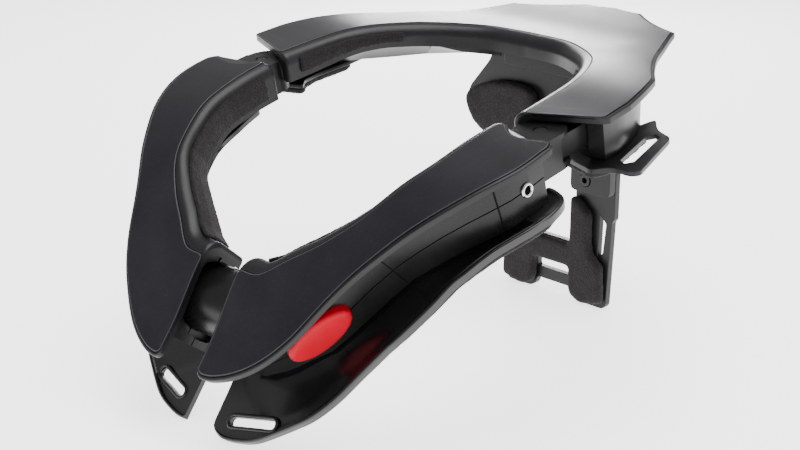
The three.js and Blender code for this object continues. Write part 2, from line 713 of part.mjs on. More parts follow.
function rearHousing(cutters) {
  const rows = (v) => {
    const middle = smooth((0.5 - Math.abs(v - 0.5) - housingSplit) / 0.08);
    const depth = lerp(flangeDepth - 1, rearHousingDepth, middle);
    return housingRows(lerp(armHousingInset, rearHousingSetback, middle),
      lerp(collarInnerInset, -rearHousingRecess, middle), shellThickness + seatGap, depth,
      (depth - collarWallAt(v)) * (1 - middle), armFootShares);
  };
  const start = housingSplit + 0.002;
  return cut(loft(collar, rows, between(start, 1 - start)), ...cutters);
}

const neckStripRear = () => loft(collar, (v) => stripRows(rollWidth, collarWallAt(v)), between(0.03, 0.24));

// Hanging pieces at the back stand upright: X across, Y up, in planes across the brace
const chestPlateBody = chestPlate(leftChestSlotLength);
chestPlateBody.computeBoundingBox();
const floorLevel = chestPlateBody.boundingBox.min.z;
const backRun = lerp(collarInnerTable.at(-1)[1], 1, 0.17) * foldLength;
const backSeat = bend(0, backRun, -shellThickness - backSeatDepth);
const upright = (y) => new THREE.Matrix4().makeRotationX(Math.PI / 2).setPosition(new THREE.Vector3(0, y, 0));
const backPlateY = backSeat.y;
const bracketY = backPlateY + backPlateThickness + bracketSetback;
const strutY = bracketY + seatGap;

// Half outline of the upper back plate. Columns: across (share of half its width), up (share of its drop)
const backPlateTable = [[0, 1], [0.74, 1], [0.74, 0.92], [0.66, 0.84], [0.7, 0.76], [1, 0.45], [0.88, 0.2],
  [0.5, 0], [0.12, 0.06], [0, 0.14]];

function symmetric(table, width, height, lift) {
  const half = table.map(([across, up]) => [across * width / 2, lift + up * height]);
  const other = half.filter(([x]) => x > 0).map(([x, y]) => [-x, y]).reverse();
  return [...half, ...other];
}

function backPlate(grow) {
  const outline = symmetric(backPlateTable, backPlateWidth, backPlateDrop, backSeat.z - backPlateDrop);
  return prism(upright(backPlateY), rounded(outline, backPlateCorner), -backPlateThickness - grow, grow);
}

// Left pad on the upper back plate, in front of it. Columns as above
const backPadTable = [[0.06, 0.16], [0.4, 0.05], [0.84, 0.22], [0.94, 0.43], [0.84, 0.52], [0.62, 0.6],
  [0.35, 0.63], [0.06, 0.6]];
function backPad() {
  const outline = backPadTable.map(([across, up]) => [across * backPlateWidth / 2,
    backSeat.z - backPlateDrop * (1 - up)]);
  return prism(upright(backPlateY), rounded(outline, backPadCorner), seatGap, backPadThickness);
}

function flap() {
  const top = backSeat.z - collarWallDepth + shellThickness + 3;
  const outline = [[-flapWidth / 2, top - flapHeight], [flapWidth / 2, top - flapHeight],
    [flapWidth / 2, top], [-flapWidth / 2, top]];
  return prism(upright(backPlateY), rounded(outline, flapCorner), seatGap, flapThickness);
}

// Back strut: two legs joined by a bar with a window
const strutLapTop = floorLevel + strutHeight;
const strutHalf = strutWidth / 2;
const strutInner = strutHalf - strutLegWidth;
const strutLevel = (share) => floorLevel + strutHeight * share;

// Right half of an outline between the legs' inner and outer edges.
// Columns: out (share of the leg's width, from its inner edge), up (share of the strut's height)
function strutOutline(table) {
  const right = table.map(([out, up]) => [strutInner + out * strutLegWidth, strutLevel(up)]);
  return [...right, ...right.map(([x, z]) => [-x, z]).reverse()];
}

const strutTable = [[1, 1], [1, 0.66], [0.945, 0.64], [0.87, 0.03], [0.78, 0], [0.185, 0], [0.037, 0.03],
  [0, 0.085]];
const strutWindowTable = [[0, 0.245], [0, 0.17]];
const strutGapTable = [[0, 1.1], [0, 0.42]];
const strutSlotTable = [[0.61, 0.36], [0.74, 0.4], [0.8, 0.62], [0.63, 0.67]];
const strutPadTable = [[0, 0.42], [0, 0.77], [0.11, 0.77], [0.48, 0.67], [0.5, 0.4], [0.815, 0.31],
  [0.83, 0.05], [0.3, 0.015], [0.075, 0.05], [0, 0.09], [0, 0.26]];

function strutHoles() {
  const through = (points, radius) => prism(upright(strutY), rounded(points, radius),
    -strutThickness - beyond, beyond);
  const slot = strutSlotTable.map(([out, up]) => [strutInner + out * strutLegWidth, strutLevel(up)]);
  const otherSlot = slot.map(([x, z]) => [-x, z]);
  return [through(strutOutline(strutWindowTable), strutHoleCorner),
    through(strutOutline(strutGapTable), strutCorner), through(slot, strutHoleCorner),
    through(otherSlot, strutHoleCorner)];
}

function backStrut() {
  const plate = prism(upright(strutY), rounded(strutOutline(strutTable), strutCorner), -strutThickness, 0);
  return cut(plate, ...strutHoles(), ...strutScrewFrames.map(screwHole));
}

const strutPad = () => prism(upright(strutY - seatGap), rounded(strutOutline(strutPadTable), strutCorner), 0,
  strutPadThickness - seatGap);

const strutScrewFrames = [1, -1].map((sign) => new THREE.Matrix4().makeRotationX(Math.PI / 2)
  .setPosition(new THREE.Vector3(sign * (strutInner + strutScrewShare * strutLegWidth),
    bracketY - bracketThickness, strutLapTop - bracketLap / 2)));

function strutBracket(grow) {
  const bottom = strutLapTop - bracketLap;
  const right = [[strutInner, bottom + bracketNotch], [strutInner, bottom], [strutHalf, bottom],
    [strutHalf, backSeat.z]];
  const outline = [...right, ...right.map(([x, y]) => [-x, y]).reverse()];
  return prism(upright(bracketY), rounded(outline, bracketCorner), -grow, bracketThickness + grow);
}

// Assembly
const brace = new THREE.Group();
function add(name, geometry, material) {
  const mesh = new THREE.Mesh(geometry, new THREE.MeshStandardMaterial(material));
  mesh.name = name;
  brace.add(mesh);
}

function addPair(name, geometry, material) {
  add(`left_${name}`, geometry, material);
  add(`right_${name}`, mirrored(geometry), material);
}

const wingLooks = { panel: satin, shell: shellBlack, housing_upper: housingBlack, housing_lower: housingBlack,
  neck_strip: hook, screw: steel };
for (const [side, hasButton] of [['left', true], ['right', false]]) {
  for (const [name, geometry] of Object.entries(wingPieces(hasButton))) {
    add(`${side}_wing_${name}`, hasButton ? geometry : mirrored(geometry), wingLooks[name]);
  }
}
add('left_chest_plate', chestPlateBody, gloss);
add('right_chest_plate', mirrored(chestPlate(rightChestSlotLength, rightChestNose)), gloss);
addPair('chest_pad', chestPad(), foam);
addPair('hinge_sleeve', hingeSleeve(), housingBlack);
addPair('hinge_pin', hingePin(), steel);
addPair('hinge_knuckle', hingeKnuckle(), housingBlack);
add('release_button', button(), red);
add('latch_barrel', latchBarrel(), housingBlack);

add('rear_collar_panel', loft(collar, panelRows, collarStations), satin);
const collarShell = loft(collar, (v) => shellRows(rollWidth, collarWallAt(v)), collarStations);
add('rear_collar_shell', collarShell, shellBlack);
addPair('arm_housing', armHousing(), housingBlack);
add('rear_housing', rearHousing([backPlate(seatGap), strutBracket(seatGap)]), housingBlack);
addPair('rear_flange', flange(), shellBlack);
addPair('shoulder_pad', shoulderPad(), foam);
addPair('rear_neck_strip', neckStripRear(), hook);
add('upper_back_plate', backPlate(0), shellBlack);
addPair('upper_back_pad', backPad(), foam);
add('back_plate_flap', flap(), shellBlack);
add('strut_bracket', cut(strutBracket(0), ...strutScrewFrames.map(screwHole)), shellBlack);
add('back_strut', backStrut(), shellBlack);
addPair('strut_screw', socketScrew(strutScrewFrames[0]), steel);
add('strut_pad', strutPad(), foam);

const bounds = new THREE.Box3().setFromObject(brace);
brace.position.set(0, -(bounds.min.y + bounds.max.y) / 2, -bounds.min.z);

export default brace;
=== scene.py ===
# Motocross neck brace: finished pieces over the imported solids, with its materials, light and camera.
import json
import math

import bmesh
import bpy
import numpy as np
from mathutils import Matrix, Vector


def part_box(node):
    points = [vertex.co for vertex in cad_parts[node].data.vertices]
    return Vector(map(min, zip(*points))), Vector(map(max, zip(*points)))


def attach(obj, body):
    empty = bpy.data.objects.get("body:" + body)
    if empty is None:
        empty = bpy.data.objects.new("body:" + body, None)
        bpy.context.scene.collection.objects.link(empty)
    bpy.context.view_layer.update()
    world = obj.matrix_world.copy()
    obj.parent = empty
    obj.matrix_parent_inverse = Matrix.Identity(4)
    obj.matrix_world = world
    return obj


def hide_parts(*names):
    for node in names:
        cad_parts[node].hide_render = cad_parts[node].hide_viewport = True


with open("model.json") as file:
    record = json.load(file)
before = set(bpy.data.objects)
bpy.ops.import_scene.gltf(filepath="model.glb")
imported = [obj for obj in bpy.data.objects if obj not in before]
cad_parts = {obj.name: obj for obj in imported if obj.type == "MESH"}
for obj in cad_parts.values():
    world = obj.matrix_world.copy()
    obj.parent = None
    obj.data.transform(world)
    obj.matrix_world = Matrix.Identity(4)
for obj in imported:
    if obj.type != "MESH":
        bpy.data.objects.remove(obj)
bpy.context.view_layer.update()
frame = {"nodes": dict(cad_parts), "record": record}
nodes = frame["nodes"]
bodyOf = {name: body for body, names in frame["record"]["behaviour"]["bodies"].items() for name in names}
print("solids loaded:", len(nodes))


# Node groups that several materials share
def newGroup(name, inputs, outputs):
    group = bpy.data.node_groups.new(name, "ShaderNodeTree")
    for label, kind, value in inputs:
        socket = group.interface.new_socket(label, in_out="INPUT", socket_type=kind)
        if value is not None:
            socket.default_value = value
    for label, kind in outputs:
        group.interface.new_socket(label, in_out="OUTPUT", socket_type=kind)
    return group, group.nodes.new("NodeGroupInput"), group.nodes.new("NodeGroupOutput")


def addNode(tree, kind, **values):
    # Each value goes to the socket of that name, or else to the node's own setting
    node = tree.nodes.new(kind)
    for key, value in values.items():
        if key in node.inputs:
            node.inputs[key].default_value = value
        else:
            setattr(node, key, value)
    return node


def buildGrain():
    # Moulded grain: fine noise for height, wide noise for how the gloss and shade wander, dust in between
    group, start, end = newGroup("moulded grain", [
        ("Scale", "NodeSocketFloat", 900.0), ("Smudge Scale", "NodeSocketFloat", 22.0),
        ("Shade Low", "NodeSocketColor", None), ("Shade High", "NodeSocketColor", None),
        ("Gloss Low", "NodeSocketFloat", 0.35), ("Gloss High", "NodeSocketFloat", 0.5),
        ("Dust", "NodeSocketFloat", 0.2)],
        [("Color", "NodeSocketColor"), ("Roughness", "NodeSocketFloat"), ("Height", "NodeSocketFloat")])
    link = group.links.new
    place = addNode(group, "ShaderNodeTexCoord")
    fine = addNode(group, "ShaderNodeTexNoise", Detail=3.0, Roughness=0.6)
    wide = addNode(group, "ShaderNodeTexNoise", Detail=5.0, Roughness=0.62)
    specks = addNode(group, "ShaderNodeTexNoise", Scale=2600.0, Detail=1.0)
    link(place.outputs["Object"], fine.inputs["Vector"])
    link(place.outputs["Object"], wide.inputs["Vector"])
    link(place.outputs["Object"], specks.inputs["Vector"])
    link(start.outputs["Scale"], fine.inputs["Scale"])
    link(start.outputs["Smudge Scale"], wide.inputs["Scale"])
    spread = addNode(group, "ShaderNodeMapRange", **{"From Min": 0.36, "From Max": 0.64})
    link(wide.outputs["Fac"], spread.inputs["Value"])
    shade = addNode(group, "ShaderNodeMix", data_type="RGBA")
    link(spread.outputs["Result"], shade.inputs[0])
    link(start.outputs["Shade Low"], shade.inputs[6])
    link(start.outputs["Shade High"], shade.inputs[7])
    grit = addNode(group, "ShaderNodeMapRange", **{"From Min": 0.66, "From Max": 0.78})
    link(specks.outputs["Fac"], grit.inputs["Value"])
    amount = addNode(group, "ShaderNodeMath", operation="MULTIPLY")
    link(grit.outputs["Result"], amount.inputs[0])
    link(start.outputs["Dust"], amount.inputs[1])
    dusted = addNode(group, "ShaderNodeMix", data_type="RGBA")
    dusted.inputs[7].default_value = (0.2, 0.19, 0.18, 1)
    link(amount.outputs[0], dusted.inputs[0])
    link(shade.outputs[2], dusted.inputs[6])
    gloss = addNode(group, "ShaderNodeMapRange")
    link(spread.outputs["Result"], gloss.inputs["Value"])
    link(start.outputs["Gloss Low"], gloss.inputs["To Min"])
    link(start.outputs["Gloss High"], gloss.inputs["To Max"])
    link(dusted.outputs[2], end.inputs["Color"])
    link(gloss.outputs["Result"], end.inputs["Roughness"])
    link(fine.outputs["Fac"], end.inputs["Height"])
    return group


def buildPile():
    # Pile or felt: short fibres as stretched noise over a clumped noise, with pale specks; the colour darkens
    # towards the deep between the fibres as painted shade
    group, start, end = newGroup("pile", [
        ("Fibre Scale", "NodeSocketFloat", 900.0), ("Clump Scale", "NodeSocketFloat", 160.0),
        ("Deep", "NodeSocketColor", None), ("Tip", "NodeSocketColor", None),
        ("Speck", "NodeSocketColor", None), ("Speck Share", "NodeSocketFloat", 0.3)],
        [("Color", "NodeSocketColor"), ("Height", "NodeSocketFloat")])
    link = group.links.new
    place = addNode(group, "ShaderNodeTexCoord")
    fibre = addNode(group, "ShaderNodeTexVoronoi", feature="F1")
    clump = addNode(group, "ShaderNodeTexNoise", Detail=4.0, Roughness=0.7)
    specks = addNode(group, "ShaderNodeTexNoise", Scale=1500.0, Detail=2.0)
    for texture in (fibre, clump, specks):
        link(place.outputs["Object"], texture.inputs["Vector"])
    link(start.outputs["Fibre Scale"], fibre.inputs["Scale"])
    link(start.outputs["Clump Scale"], clump.inputs["Scale"])
    tall = addNode(group, "ShaderNodeMapRange", **{
        "From Min": 0.1, "From Max": 0.75, "To Min": 1.0, "To Max": 0.0})
    link(fibre.outputs["Distance"], tall.inputs["Value"])
    height = addNode(group, "ShaderNodeMath", operation="MULTIPLY_ADD")
    link(tall.outputs["Result"], height.inputs[0])
    link(clump.outputs["Fac"], height.inputs[1])
    link(clump.outputs["Fac"], height.inputs[2])
    shade = addNode(group, "ShaderNodeMix", data_type="RGBA")
    link(height.outputs[0], shade.inputs[0])
    link(start.outputs["Deep"], shade.inputs[6])
    link(start.outputs["Tip"], shade.inputs[7])
    lint = addNode(group, "ShaderNodeMapRange", **{"From Min": 0.6, "From Max": 0.7})
    link(specks.outputs["Fac"], lint.inputs["Value"])
    amount = addNode(group, "ShaderNodeMath", operation="MULTIPLY")
    link(lint.outputs["Result"], amount.inputs[0])
    link(start.outputs["Speck Share"], amount.inputs[1])
    flecked = addNode(group, "ShaderNodeMix", data_type="RGBA")
    link(amount.outputs[0], flecked.inputs[0])
    link(shade.outputs[2], flecked.inputs[6])
    link(start.outputs["Speck"], flecked.inputs[7])
    link(flecked.outputs[2], end.inputs["Color"])
    link(height.outputs[0], end.inputs["Height"])
    return group


grainGroup = buildGrain()
pileGroup = buildPile()


def newMaterial(name):
    material = bpy.data.materials.new(name)
    material.use_nodes = True
    return material, material.node_tree, material.node_tree.nodes["Principled BSDF"]


def mouldedMaterial(name, low, high, gloss, bump=0.05, dust=0.15, metallic=0.0, level=0.5):
    # Colour from low to high and roughness from gloss[0] to gloss[1] wander with the wide noise
    material, tree, shader = newMaterial(name)
    shader.inputs["Metallic"].default_value = metallic
    shader.inputs["Specular IOR Level"].default_value = level
    effect = addNode(tree, "ShaderNodeGroup", node_tree=grainGroup, **{
        "Shade Low": (*low, 1), "Shade High": (*high, 1),
        "Gloss Low": gloss[0], "Gloss High": gloss[1], "Dust": dust})
    relief = addNode(tree, "ShaderNodeBump", Strength=bump, Distance=0.0004)
    tree.links.new(effect.outputs["Color"], shader.inputs["Base Color"])
    tree.links.new(effect.outputs["Roughness"], shader.inputs["Roughness"])
    tree.links.new(effect.outputs["Height"], relief.inputs["Height"])
    tree.links.new(relief.outputs["Normal"], shader.inputs["Normal"])
    return material


def pileMaterial(name, deep, tip, speck, fibre, clump, share, bump, distance):
    # Deep is the painted shade between the fibres, tip the colour on top of them, and specks of lint over a
    # share of it
    material, tree, shader = newMaterial(name)
    for socket, value in (("Roughness", 0.95), ("Specular IOR Level", 0.2), ("Sheen Weight", 0.06),
                          ("Sheen Roughness", 0.5)):
        shader.inputs[socket].default_value = value
    effect = addNode(tree, "ShaderNodeGroup", node_tree=pileGroup, **{
        "Fibre Scale": fibre, "Clump Scale": clump, "Deep": (*deep, 1), "Tip": (*tip, 1),
        "Speck": (*speck, 1), "Speck Share": share})
    relief = addNode(tree, "ShaderNodeBump", Strength=bump, Distance=distance)
    tree.links.new(effect.outputs["Color"], shader.inputs["Base Color"])
    tree.links.new(effect.outputs["Height"], relief.inputs["Height"])
    tree.links.new(relief.outputs["Normal"], shader.inputs["Normal"])
    return material


# Painted highlight line along a table's edge, in mm: the rim outside the table, the line's place inside its
# edge, and half its width
edgeHighlightSize = {"rim": 1.7, "inset": 0.75, "half": 0.16}


def paintedEdgeHighlight(material, tone):
    # A fine pale line of painted highlight just inside a table's edge, from each point's distance to the
    # table's edges in mm
    tree = material.node_tree
    shader = tree.nodes["Principled BSDF"]
    link = tree.links.new
    stored = addNode(tree, "ShaderNodeAttribute", attribute_name="edges")
    parts = addNode(tree, "ShaderNodeSeparateXYZ")
    link(stored.outputs["Vector"], parts.inputs["Vector"])
    fromOuter = addNode(tree, "ShaderNodeMath", operation="SUBTRACT")
    fromOuter.inputs[1].default_value = edgeHighlightSize["rim"]
    link(parts.outputs["X"], fromOuter.inputs[0])
    near = addNode(tree, "ShaderNodeMath", operation="MINIMUM")
    link(fromOuter.outputs[0], near.inputs[0])
    link(parts.outputs["Y"], near.inputs[1])
    nearest = addNode(tree, "ShaderNodeMath", operation="MINIMUM")
    link(near.outputs[0], nearest.inputs[0])
    link(parts.outputs["Z"], nearest.inputs[1])
    band = addNode(tree, "ShaderNodeMath", operation="COMPARE")
    band.inputs[1].default_value = edgeHighlightSize["inset"]
    band.inputs[2].default_value = edgeHighlightSize["half"]
    link(nearest.outputs[0], band.inputs[0])
    mixed = addNode(tree, "ShaderNodeMix", data_type="RGBA")
    mixed.inputs[7].default_value = (*tone, 1)
    link(band.outputs[0], mixed.inputs[0])
    link(shader.inputs["Base Color"].links[0].from_socket, mixed.inputs[6])
    link(mixed.outputs[2], shader.inputs["Base Color"])
    return material


finishes = {
    # The satin table carries the painted edge highlight, and the last tone here is the highlight's colour
    "table_satin": paintedEdgeHighlight(mouldedMaterial("satin table", (0.0075, 0.007, 0.0098), (0.0115, 0.0107, 0.0148),
                                            (0.29, 0.35), bump=0.1, level=0.2), (0.07, 0.066, 0.078)),
    "shell_black": mouldedMaterial("shell black", (0.005, 0.005, 0.006), (0.008, 0.008, 0.009),
                                   (0.34, 0.44), level=0.26),
    "chest_gloss": mouldedMaterial("chest gloss", (0.003, 0.003, 0.0035), (0.006, 0.006, 0.007),
                                   (0.12, 0.2), bump=0.02, dust=0.1),
    "housing_black": mouldedMaterial("housing black", (0.0035, 0.004, 0.0037), (0.006, 0.0066, 0.0062),
                                     (0.26, 0.35), bump=0.08, level=0.22),
    # Pile colours: deep is painted shade between the fibres, tip the top of the fibres, speck the lint
    "foam_black": pileMaterial("felted foam", (0.006, 0.005, 0.0055), (0.022, 0.019, 0.0205),
                               (0.11, 0.08, 0.065), 1100.0, 150.0, 0.3, 0.7, 0.0005),
    "hook_black": pileMaterial("hook pile", (0.002, 0.0015, 0.002), (0.015, 0.013, 0.014),
                               (0.1, 0.08, 0.08), 1500.0, 700.0, 0.3, 0.6, 0.0006),
    "bright_steel": mouldedMaterial("bright steel", (0.55, 0.56, 0.57), (0.68, 0.69, 0.7),
                                    (0.18, 0.3), metallic=1.0, dust=0.0, bump=0.03),
    "button_red": mouldedMaterial("button red", (0.36, 0.0, 0.01), (0.42, 0.0, 0.018),
                                  (0.28, 0.36), level=0.08, dust=0.03, bump=0.04),
}

# Chest plate's frame: its dull gloss ends between two distances from the plate's end, in mm
frameLook = {"from": 26.0, "to": 29.0, "roughness": 0.36, "colour": (0.0055, 0.0055, 0.0065, 1)}


def frameAndDish(material):
    # The plate's front frame is duller than its dish, by the distance from the end in mm
    tree = material.node_tree
    shader = tree.nodes["Principled BSDF"]
    link = tree.links.new
    stored = addNode(tree, "ShaderNodeAttribute", attribute_name="edges")
    parts = addNode(tree, "ShaderNodeSeparateXYZ")
    link(stored.outputs["Vector"], parts.inputs["Vector"])
    inDish = addNode(tree, "ShaderNodeMapRange", **{
        "From Min": frameLook["from"], "From Max": frameLook["to"]})
    link(parts.outputs["Z"], inDish.inputs["Value"])
    dull = addNode(tree, "ShaderNodeMix", data_type="FLOAT")
    dull.inputs[2].default_value = frameLook["roughness"]
    link(inDish.outputs["Result"], dull.inputs[0])
    link(shader.inputs["Roughness"].links[0].from_socket, dull.inputs[3])
    link(dull.outputs[0], shader.inputs["Roughness"])
    pale = addNode(tree, "ShaderNodeMix", data_type="RGBA")
    pale.inputs[6].default_value = frameLook["colour"]
    link(inDish.outputs["Result"], pale.inputs[0])
    link(shader.inputs["Base Color"].links[0].from_socket, pale.inputs[7])
    link(pale.outputs[2], shader.inputs["Base Color"])


frameAndDish(finishes["chest_gloss"])
darkScrew = mouldedMaterial("dark screw", (0.012, 0.012, 0.013), (0.02, 0.02, 0.021), (0.3, 0.42),
                            metallic=0.6)
# Painted shadow: a near-black material for the wing's seam strips and the ring screw's hollow
paintedShadow = mouldedMaterial("seam shadow", (0.001, 0.001, 0.001), (0.002, 0.002, 0.002), (0.6, 0.7),
                           level=0.1)
slotOf = {part["node"]: part["material_slot"] for part in frame["record"]["subparts"]}
print("finishes made:", len(finishes))


def standIn(piece, node, material):
    # The piece takes the node's place, body and material slot
    piece.data.materials.clear()
    piece.data.materials.append(material)
    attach(piece, bodyOf[node])
    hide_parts(node)


def mergedCopy(node, name, angle):
    # A node's mesh with its loose corners merged and its flat faces joined
    mesh = nodes[node].data.copy()
    work = bmesh.new()
    work.from_mesh(mesh)
    bmesh.ops.remove_doubles(work, verts=work.verts, dist=1e-5)
    if angle:
        bmesh.ops.dissolve_limit(work, angle_limit=math.radians(angle), verts=work.verts, edges=work.edges)
    work.to_mesh(mesh)
    work.free()
    piece = bpy.data.objects.new(name, mesh)
    bpy.context.scene.collection.objects.link(piece)
    return piece


moulded = {  # edge radius in metres, and the turn in degrees past which an edge is rounded
    "table_satin": (0.0003, 30), "shell_black": (0.0005, 38), "chest_gloss": (0.0005, 38),
    "housing_black": (0.0006, 38), "bright_steel": (0.0003, 40), "button_red": (0.0006, 40),
}


def smoothFaces(mesh):
    mesh.polygons.foreach_set("use_smooth", np.ones(len(mesh.polygons), dtype=bool))


def roundEdges(piece, radius, turn):
    # Rounds the edges past a turn, and lets the broad faces keep their own normals
    rounding = piece.modifiers.new("rounded edges", "BEVEL")
    rounding.width = radius
    rounding.segments = 2
    rounding.limit_method = "ANGLE"
    rounding.angle_limit = math.radians(turn)
    weighted = piece.modifiers.new("broad faces flat", "WEIGHTED_NORMAL")
    weighted.weight = 80
    weighted.keep_sharp = True


def mouldedPiece(node):
    # The node's own solid with its edges rounded
    radius, turn = moulded[slotOf[node]]
    piece = mergedCopy(node, f"{node}_finished", 0.6)
    smoothFaces(piece.data)
    roundEdges(piece, radius, turn)
    dark = node.endswith(("strut_screw", "hinge_pin"))
    standIn(piece, node, darkScrew if dark else finishes[slotOf[node]])


pads = {  # voxel and crown in metres, smoothing passes
    "foam_black": {"voxel": 0.0011, "crown": 0.0006, "passes": 9, "fill": 0.8},
    "hook_black": {"voxel": 0.0007, "crown": 0.0002, "passes": 3, "fill": 0.9},
}
ripples = {"rise": 0.45, "swell": 0.07, "along": [520.0, 310.0, 410.0], "over": [-270.0, 480.0, 350.0]}


def paddedPiece(node):
    # The pad's solid is remeshed and smoothed, then each point moves along its normal by a share of the
    # crown, which swells and sinks with the product of two sine waves through the pad
    size = pads[slotOf[node]]
    piece = mergedCopy(node, f"{node}_soft", 0)
    remesh = piece.modifiers.new("remesh", "REMESH")
    remesh.mode = "VOXEL"
    remesh.voxel_size = size["voxel"]
    rounding = piece.modifiers.new("rounding", "SMOOTH")
    rounding.factor = 0.5
    rounding.iterations = size["passes"]
    graph = bpy.context.evaluated_depsgraph_get()
    mesh = bpy.data.meshes.new_from_object(piece.evaluated_get(graph))
    piece.modifiers.clear()
    piece.data = mesh
    count = len(mesh.vertices)
    points = np.empty(count * 3, dtype=np.float32)
    normals = np.empty(count * 3, dtype=np.float32)
    mesh.vertices.foreach_get("co", points)
    mesh.vertices.foreach_get("normal", normals)
    points, normals = points.reshape(-1, 3), normals.reshape(-1, 3)
    ripple = np.sin(points @ np.array(ripples["along"])) * np.sin(points @ np.array(ripples["over"]))
    points += normals * (size["crown"] * (ripples["rise"] + ripples["swell"] * ripple))[:, None]
    mesh.vertices.foreach_set("co", points.ravel())
    smoothFaces(mesh)
    mesh.update()
    standIn(piece, node, finishes[slotOf[node]])


# The brace's folded top: x across, s along the side profile from the front tips, h above the top surface
fold = {
    "width": 245.0, "length": 308.0, "height": 158.0, "shift": (0.0, -0.764, -1.12), "gap": 0.3,
    "profile": [(0, 0.23), (0.037, 0.33), (0.087, 0.493), (0.144, 0.63), (0.183, 0.711), (0.249, 0.803),
                (0.331, 0.869), (0.412, 0.911), (0.49, 0.939), (0.608, 0.972), (0.754, 0.976), (0.838, 0.972),
                (0.929, 0.988), (1, 1)],
}


def splineThrough(points, steps=48):
    # Centripetal Catmull-Rom curve: each span is a cubic whose end slopes weigh the neighbouring spans by
    # the square root of their lengths
    points = np.asarray(points, dtype=float)
    full = np.vstack([2 * points[0] - points[1], points, 2 * points[-1] - points[-2]])
    a, b, c, d = full[:-3], full[1:-2], full[2:-1], full[3:]
    span = [np.sqrt(np.linalg.norm(q - p, axis=1))[:, None] for p, q in ((a, b), (b, c), (c, d))]
    into = ((b - a) / span[0] - (c - a) / (span[0] + span[1]) + (c - b) / span[1]) * span[1]
    outOf = ((c - b) / span[1] - (d - b) / (span[1] + span[2]) + (d - c) / span[2]) * span[1]
    u = np.linspace(0, 1, steps, endpoint=False)[None, :, None]
    b, c, into, outOf = b[:, None], c[:, None], into[:, None], outOf[:, None]
    cubic = b + into * u + (3 * (c - b) - 2 * into - outOf) * u**2 + (2 * (b - c) + into + outOf) * u**3
    return np.vstack([cubic.reshape(-1, points.shape[1]), points[-1:]])


def evenCurve(dense):
    # Point at a share of the curve's length
    steps = np.r_[0, np.cumsum(np.linalg.norm(np.diff(dense, axis=0), axis=1))]
    return lambda share: np.stack([np.interp(np.asarray(share) * steps[-1], steps, column)
                                   for column in dense.T], axis=-1), steps[-1]


profileAt, foldLength = evenCurve(splineThrough(
    [((along - 0.5) * fold["length"], up * fold["height"]) for along, up in fold["profile"]]))


def bend(x, s, h):
    # Metres in the world for places given flat: the profile's point, plus h along its normal
    share = np.clip(s / foldLength, 0, 1)
    near, far = profileAt(np.clip(share - 0.002, 0, 1)), profileAt(np.clip(share + 0.002, 0, 1))
    along = (far - near) / np.linalg.norm(far - near, axis=-1, keepdims=True)
    spot = profileAt(share) + along * (s - share * foldLength)[..., None]
    normal = np.stack([-along[..., 1], along[..., 0]], axis=-1)
    spot = spot + normal * h[..., None]
    return (np.stack([x, spot[..., 0], spot[..., 1]], axis=-1) + np.array(fold["shift"])) / 1000


def flatEdge(table):
    # Smooth curve through a table of shares: of the half width across, and of the fold's length along
    spots = [(across * fold["width"] / 2, run * foldLength) for across, run in table]
    return evenCurve(splineThrough(spots))[0]


def corneredEdge(table):
    # Quadratic curves from corner to corner, each bowed by its sag, spread over the facing edge's shares
    spots = np.array([(across * fold["width"] / 2, run * foldLength) for across, run, *rest in table])
    sags = np.array([row[2] for row in table])[:-1, None]
    match = np.array([row[3] for row in table])
    way = np.diff(spots, axis=0)
    side = np.stack([-way[:, 1], way[:, 0]], axis=1) / np.linalg.norm(way, axis=1, keepdims=True)
    middle = (spots[:-1] + spots[1:]) / 2 + side * 2 * sags

    def at(half):
        piece = np.clip(np.searchsorted(match, half, side="right") - 1, 0, len(way) - 1)
        u = ((half - match[piece]) / (match[piece + 1] - match[piece]))[..., None]
        return (1 - u)**2 * spots[piece] + 2 * u * (1 - u) * middle[piece] + u**2 * spots[piece + 1]
    return at


def smooth(t):
    # Smooth step from 0 to 1
    t = np.clip(t, 0, 1)
    return t * t * (3 - 2 * t)


def edgePair(outerAt, innerAt, endShift=None, corner=0.0, length=1.0):
    # Place between two edges: side runs 0 to 1 across, inset is mm inward, and near both ends the two
    # edges draw together on an arc, which rounds the corners
    def place(v, side, inset):
        outer, inner = outerAt(v), innerAt(v)
        across = inner - outer
        way = across / np.linalg.norm(across, axis=-1, keepdims=True)
        near = np.clip(np.minimum(v, 1 - v) * length / max(corner, 1e-6), 0, 1)
        draw = corner * (1 - np.sqrt(1 - (1 - near)**2))
        point = outer + across * side + way * (inset + draw * (1 - 2 * side))[..., None]
        shift = endShift(v, side) if endShift else 0
        return point[..., 0], point[..., 1] + shift
    return place


def ringQuads(rings, count, closed=False):
    # Faces between each ring of points and the next one, and from the last to the first where closed
    ring, k = np.meshgrid(np.arange(rings if closed else rings - 1), np.arange(count), indexing="ij")
    after, over = (k + 1) % count, (ring + 1) % rings
    corners = [ring * count + k, ring * count + after, over * count + after, over * count + k]
    return np.stack(corners, axis=-1).reshape(-1, 4).tolist()


def endFaces(rings, count):
    return [list(range(count)), list(range((rings - 1) * count, rings * count))]


def meshPiece(name, points, faces, doubles=0.0):
    # New object of these points and faces, its doubles merged where asked, and its faces turned outwards
    mesh = bpy.data.meshes.new(name)
    mesh.from_pydata(points.reshape(-1, 3).tolist(), [], faces)
    work = bmesh.new()
    work.from_mesh(mesh)
    if doubles:
        bmesh.ops.remove_doubles(work, verts=work.verts, dist=doubles)
    bmesh.ops.recalc_face_normals(work, faces=work.faces)
    work.to_mesh(mesh)
    work.free()
    piece = bpy.data.objects.new(name, mesh)
    bpy.context.scene.collection.objects.link(piece)
    return piece


endReach = 200.0  # mm that the whole run of stations counts as in the distance from the nearer end


